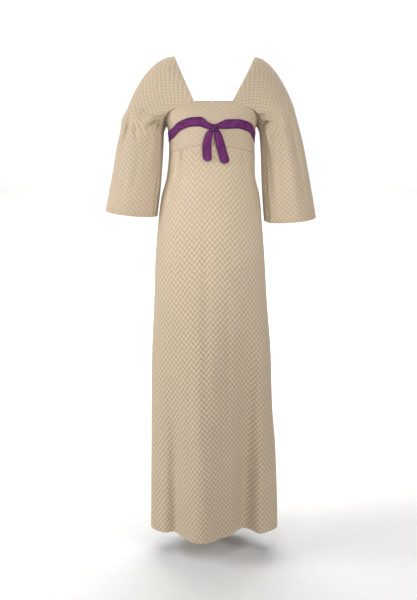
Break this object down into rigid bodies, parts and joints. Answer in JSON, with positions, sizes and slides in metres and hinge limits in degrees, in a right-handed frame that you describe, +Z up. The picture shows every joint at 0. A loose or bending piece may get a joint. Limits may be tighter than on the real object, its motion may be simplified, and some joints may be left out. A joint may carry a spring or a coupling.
{
  "type": "maxi dress",
  "caption": "Empire-line maxi dress in a textured weave with a square neck, raglan bell sleeves, a ribbon tied under the bust and a long flared skirt, kept in its worn form.",
  "frame": {"origin": "middle line at the height of the shoulder tops, where the wearer's shoulders hold the dress", "axes": "+Z up, the front faces -Y, +X towards the wearer's left"},
  "size_m": [0.59, 0.2894, 1.3764],
  "materials": {
    "cloth": "soft matt woven tan and cream cloth",
    "ribbon": "matt purple velvet ribbon",
    "zip_tape": "woven polyester tape",
    "zip_metal": "satin brass"
  },
  "bodies": {
    "dress": {"bodice_front": "cloth", "bodice_back_left": "cloth", "bodice_back_right": "cloth", "midriff_front": "cloth", "midriff_back_left": "cloth", "midriff_back_right": "cloth", "skirt_front": "cloth", "skirt_back_left": "cloth", "skirt_back_right": "cloth", "sleeve_left": "cloth", "sleeve_right": "cloth", "ribbon_band": "ribbon", "ribbon_knot": "ribbon", "ribbon_tail_left": "ribbon", "ribbon_tail_right": "ribbon", "zip_tape": "zip_tape", "zip_slider": "zip_metal"},
    "pull_tab": {"zip_pull_tab": "zip_metal"}
  },
  "joints": [
    {"name": "pull_tab_hinge", "type": "hinge", "parent": "dress", "child": "pull_tab", "pos_m": [-0.00364, 0.09389, -0.1315], "axis": [1, 0, 0], "range_deg": [0, 140]}
  ]
}
